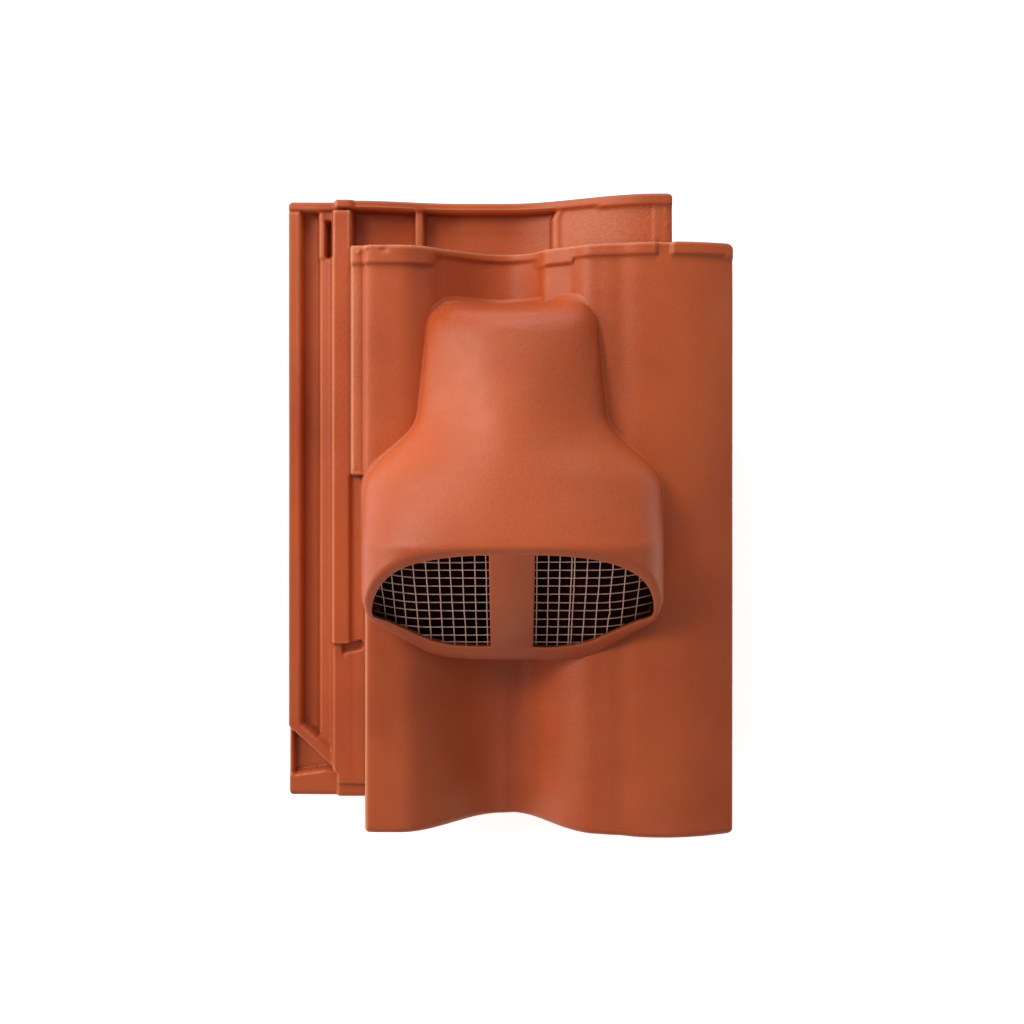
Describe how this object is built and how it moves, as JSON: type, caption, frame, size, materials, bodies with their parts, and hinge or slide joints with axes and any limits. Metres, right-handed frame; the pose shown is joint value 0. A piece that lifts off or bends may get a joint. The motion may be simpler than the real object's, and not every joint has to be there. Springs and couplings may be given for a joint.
{
  "type": "roof ventilation tile",
  "caption": "Interlocking wave-shaped clay roof tile with a moulded ventilation hood, its mouths closed by a welded wire mesh; it lies on its underside and hooks on a batten.",
  "frame": {"origin": "centre of the tile's outline, on the plane that its nibs and lugs rest on", "axes": "+X across the tile to its roll, +Y up the slope to its head, +Z out of its face"},
  "size_m": [0.3, 0.425, 0.1335],
  "materials": {
    "fired_clay": "red fired clay with a thin matt slip, satin where the press smoothed it",
    "steel_wire": "dull galvanised wire with a film of red clay dust"
  },
  "bodies": {
    "root": {"vent_tile": "fired_clay", "wire_mesh": "steel_wire"}
  },
  "joints": []
}
